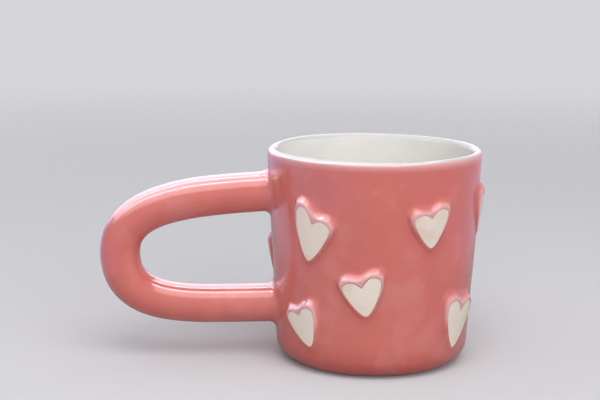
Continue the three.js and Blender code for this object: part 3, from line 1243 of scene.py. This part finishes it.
def makePaper(sizes):
    material, tree, shader, place = startMaterial("studioPaper")
    mottle = noiseNode(tree, place, sizes["mottleScale"], 4)
    light = addNode(tree, "ShaderNodeLightPath")
    cameraRay = light.outputs["Is Camera Ray"]
    glossyRay = light.outputs["Is Glossy Ray"]
    pale = mixNode(tree, mottle, sizes["colour"], sizes["mottle"])
    colour = mixNode(tree, cameraRay, sizes["bounce"], pale)
    tree.links.new(colour, shader.inputs["Base Color"])
    shader.inputs["Roughness"].default_value = sizes["roughness"]
    distance = addNode(tree, "ShaderNodeVectorMath", {0: place}, operation="LENGTH").outputs["Value"]
    seen = mathNode(tree, "ADD", cameraRay, glossyRay, clamp=True)
    far = rangeNode(tree, distance, sizes["glowFrom"], sizes["glowTo"])
    glow = addNode(tree, "ShaderNodeEmission", {"Color": sizes["glow"], "Strength": 1}).outputs["Emission"]
    paper = mixShaders(tree, mathNode(tree, "MULTIPLY", seen, far), shader.outputs["BSDF"], glow)
    across = axisNode(tree, place, "X")
    beside = rangeNode(tree, mathNode(tree, "ABSOLUTE", across), sizes["sheenFrom"], sizes["sheenTo"])
    rightHand = rangeNode(tree, across, -sizes["sheenFrom"], sizes["sheenFrom"])
    tint = mixNode(tree, rightHand, sizes["sheenLeft"], sizes["sheenRight"])
    links = {"Color": tint, "Strength": sizes["sheenStrength"]}
    sheen = addNode(tree, "ShaderNodeEmission", links).outputs["Emission"]
    reflected = mathNode(tree, "MULTIPLY", glossyRay, beside)
    paper = mixShaders(tree, reflected, paper, sheen)
    tree.links.new(paper, tree.nodes["Material Output"].inputs["Surface"])
    return material


def makeStage(sizes):
    bpy.ops.object.select_all(action="DESELECT")
    bpy.ops.mesh.primitive_plane_add(size=2 * sizes["half"])
    floor = bpy.context.object
    floor.name = "studio_floor"
    bpy.ops.object.mode_set(mode="EDIT")
    work = bmesh.from_edit_mesh(floor.data)
    for vert in work.verts:
        if vert.co.y > 0:
            vert.co.y = sizes["back"]
    bpy.ops.mesh.select_all(action="DESELECT")
    for edge in work.edges:
        edge.select_set(all(vert.co.y > 0 for vert in edge.verts))
    bmesh.update_edit_mesh(floor.data)
    bpy.ops.mesh.extrude_region_move(TRANSFORM_OT_translate={"value": (0, 0, sizes["tall"])})
    work = bmesh.from_edit_mesh(floor.data)
    for edge in work.edges:
        edge.select_set(all(vert.co.y > 0 and vert.co.z < sizes["sweep"] for vert in edge.verts))
    bmesh.update_edit_mesh(floor.data)
    bpy.ops.mesh.bevel(offset=sizes["sweep"], segments=sizes["sweepSteps"])
    bpy.ops.object.mode_set(mode="OBJECT")
    bpy.ops.object.shade_smooth()
    floor.data.materials.append(makePaper(sizes))


lamps = {
    "frontBox": {
        "place": (0.04, -0.5, 0.85), "aim": (0, 0, 0.05), "size": (0.8, 0.48), "power": 3.3,
        "tint": (0.98, 0.98, 1),
    },
    "cameraFill": {
        "place": (0.18, -1.2, 0.5), "aim": (0, 0, 0.05), "size": (1.4, 0.7), "power": 4,
        "tint": (1, 0.98, 0.98),
    },
}
glossCards = {
    "ceilingCard": {"place": (-0.7, 0.65, 0.9), "size": (2.3, 1.8), "power": 54, "tint": (0.72, 0.82, 1)},
    "frontCard": {"place": (-0.4, -0.6, 0.9), "size": (1.6, 0.7), "power": 9, "tint": (0.88, 0.9, 1)},
    "backCard": {
        "place": (-0.5, 1.6, 0.6), "aim": (-0.5, 0, 0.6), "size": (2.4, 0.7), "power": 11,
        "tint": (0.92, 0.88, 1),
    },
    "frontTube": {"place": (-0.3, -0.12, 0.8), "size": (1.4, 0.06), "power": 4, "tint": (1, 0.98, 0.98)},
    "backTube": {"place": (-0.3, 0.32, 0.8), "size": (1.4, 0.06), "power": 4, "tint": (1, 0.98, 0.98)},
}


def addLamp(name, lamp):
    bpy.ops.object.select_all(action="DESELECT")
    bpy.ops.object.light_add(type="AREA", location=lamp["place"])
    light = bpy.context.object
    light.name = name
    light.data.shape = "RECTANGLE"
    light.data.size, light.data.size_y = lamp["size"]
    light.data.energy = lamp["power"]
    light.data.color = lamp["tint"]
    below = (*lamp["place"][:2], 0)  # a lamp with no aim points straight down
    towards = Vector(lamp.get("aim", below)) - Vector(lamp["place"])
    light.rotation_euler = towards.to_track_quat("-Z", "Y").to_euler()
    light.visible_camera = False
    return light


worldLight = {
    "colour": (0.98, 0.99, 1, 1),
    "strength": 0.57,
    "seen": rgb(214, 214, 216),  # behind the paper's edges
}


def makeWorld(sizes):
    world = bpy.data.worlds.new("studio")
    world.use_nodes = True
    tree = world.node_tree
    lit = tree.nodes["Background"]
    lit.inputs["Color"].default_value = sizes["colour"]
    lit.inputs["Strength"].default_value = sizes["strength"]
    seen = addNode(tree, "ShaderNodeBackground", {"Color": sizes["seen"], "Strength": 1})
    light = addNode(tree, "ShaderNodeLightPath")
    cameraRay = light.outputs["Is Camera Ray"]
    both = mixShaders(tree, cameraRay, lit.outputs["Background"], seen.outputs["Background"])
    tree.links.new(both, tree.nodes["World Output"].inputs["Surface"])
    bpy.context.scene.world = world


makeStage(stageSizes)
for lampName, lamp in lamps.items():
    # lights the mug, but is not seen in the glaze
    addLamp(lampName, lamp).visible_glossy = False
for cardName, card in glossCards.items():
    # seen in the glaze alone
    addLamp(cardName, card).visible_diffuse = False
makeWorld(worldLight)
print("studio lit")
